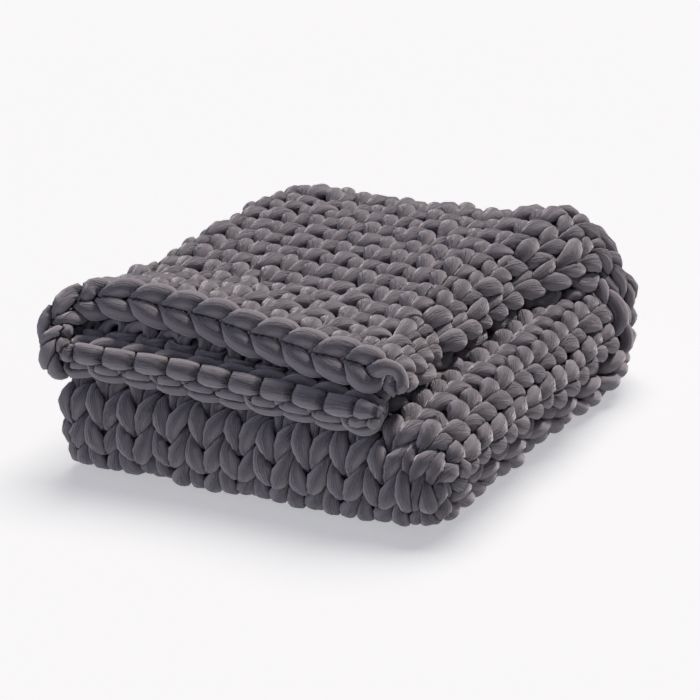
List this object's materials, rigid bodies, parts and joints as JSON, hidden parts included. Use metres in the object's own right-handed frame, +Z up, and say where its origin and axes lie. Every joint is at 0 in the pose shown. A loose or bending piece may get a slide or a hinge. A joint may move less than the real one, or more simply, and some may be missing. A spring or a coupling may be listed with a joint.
{
  "type": "folded weighted blanket",
  "caption": "Chunky hand-knitted blanket in thick tube yarn, doubled lengthwise and folded in three into a flat pile.",
  "frame": {"origin": "middle of the bounding box at the floor", "axes": "+X to the right along the front fold, +Y from the front fold to the back fold, +Z up; the lengthwise fold is at -X and the selvedges at +X"},
  "size_m": [0.5067, 0.6458, 0.2262],
  "materials": {
    "yarn": "matte cotton jersey tube yarn, mid-dark warm grey"
  },
  "bodies": {
    "root": {"blanket": "yarn"}
  },
  "joints": []
}
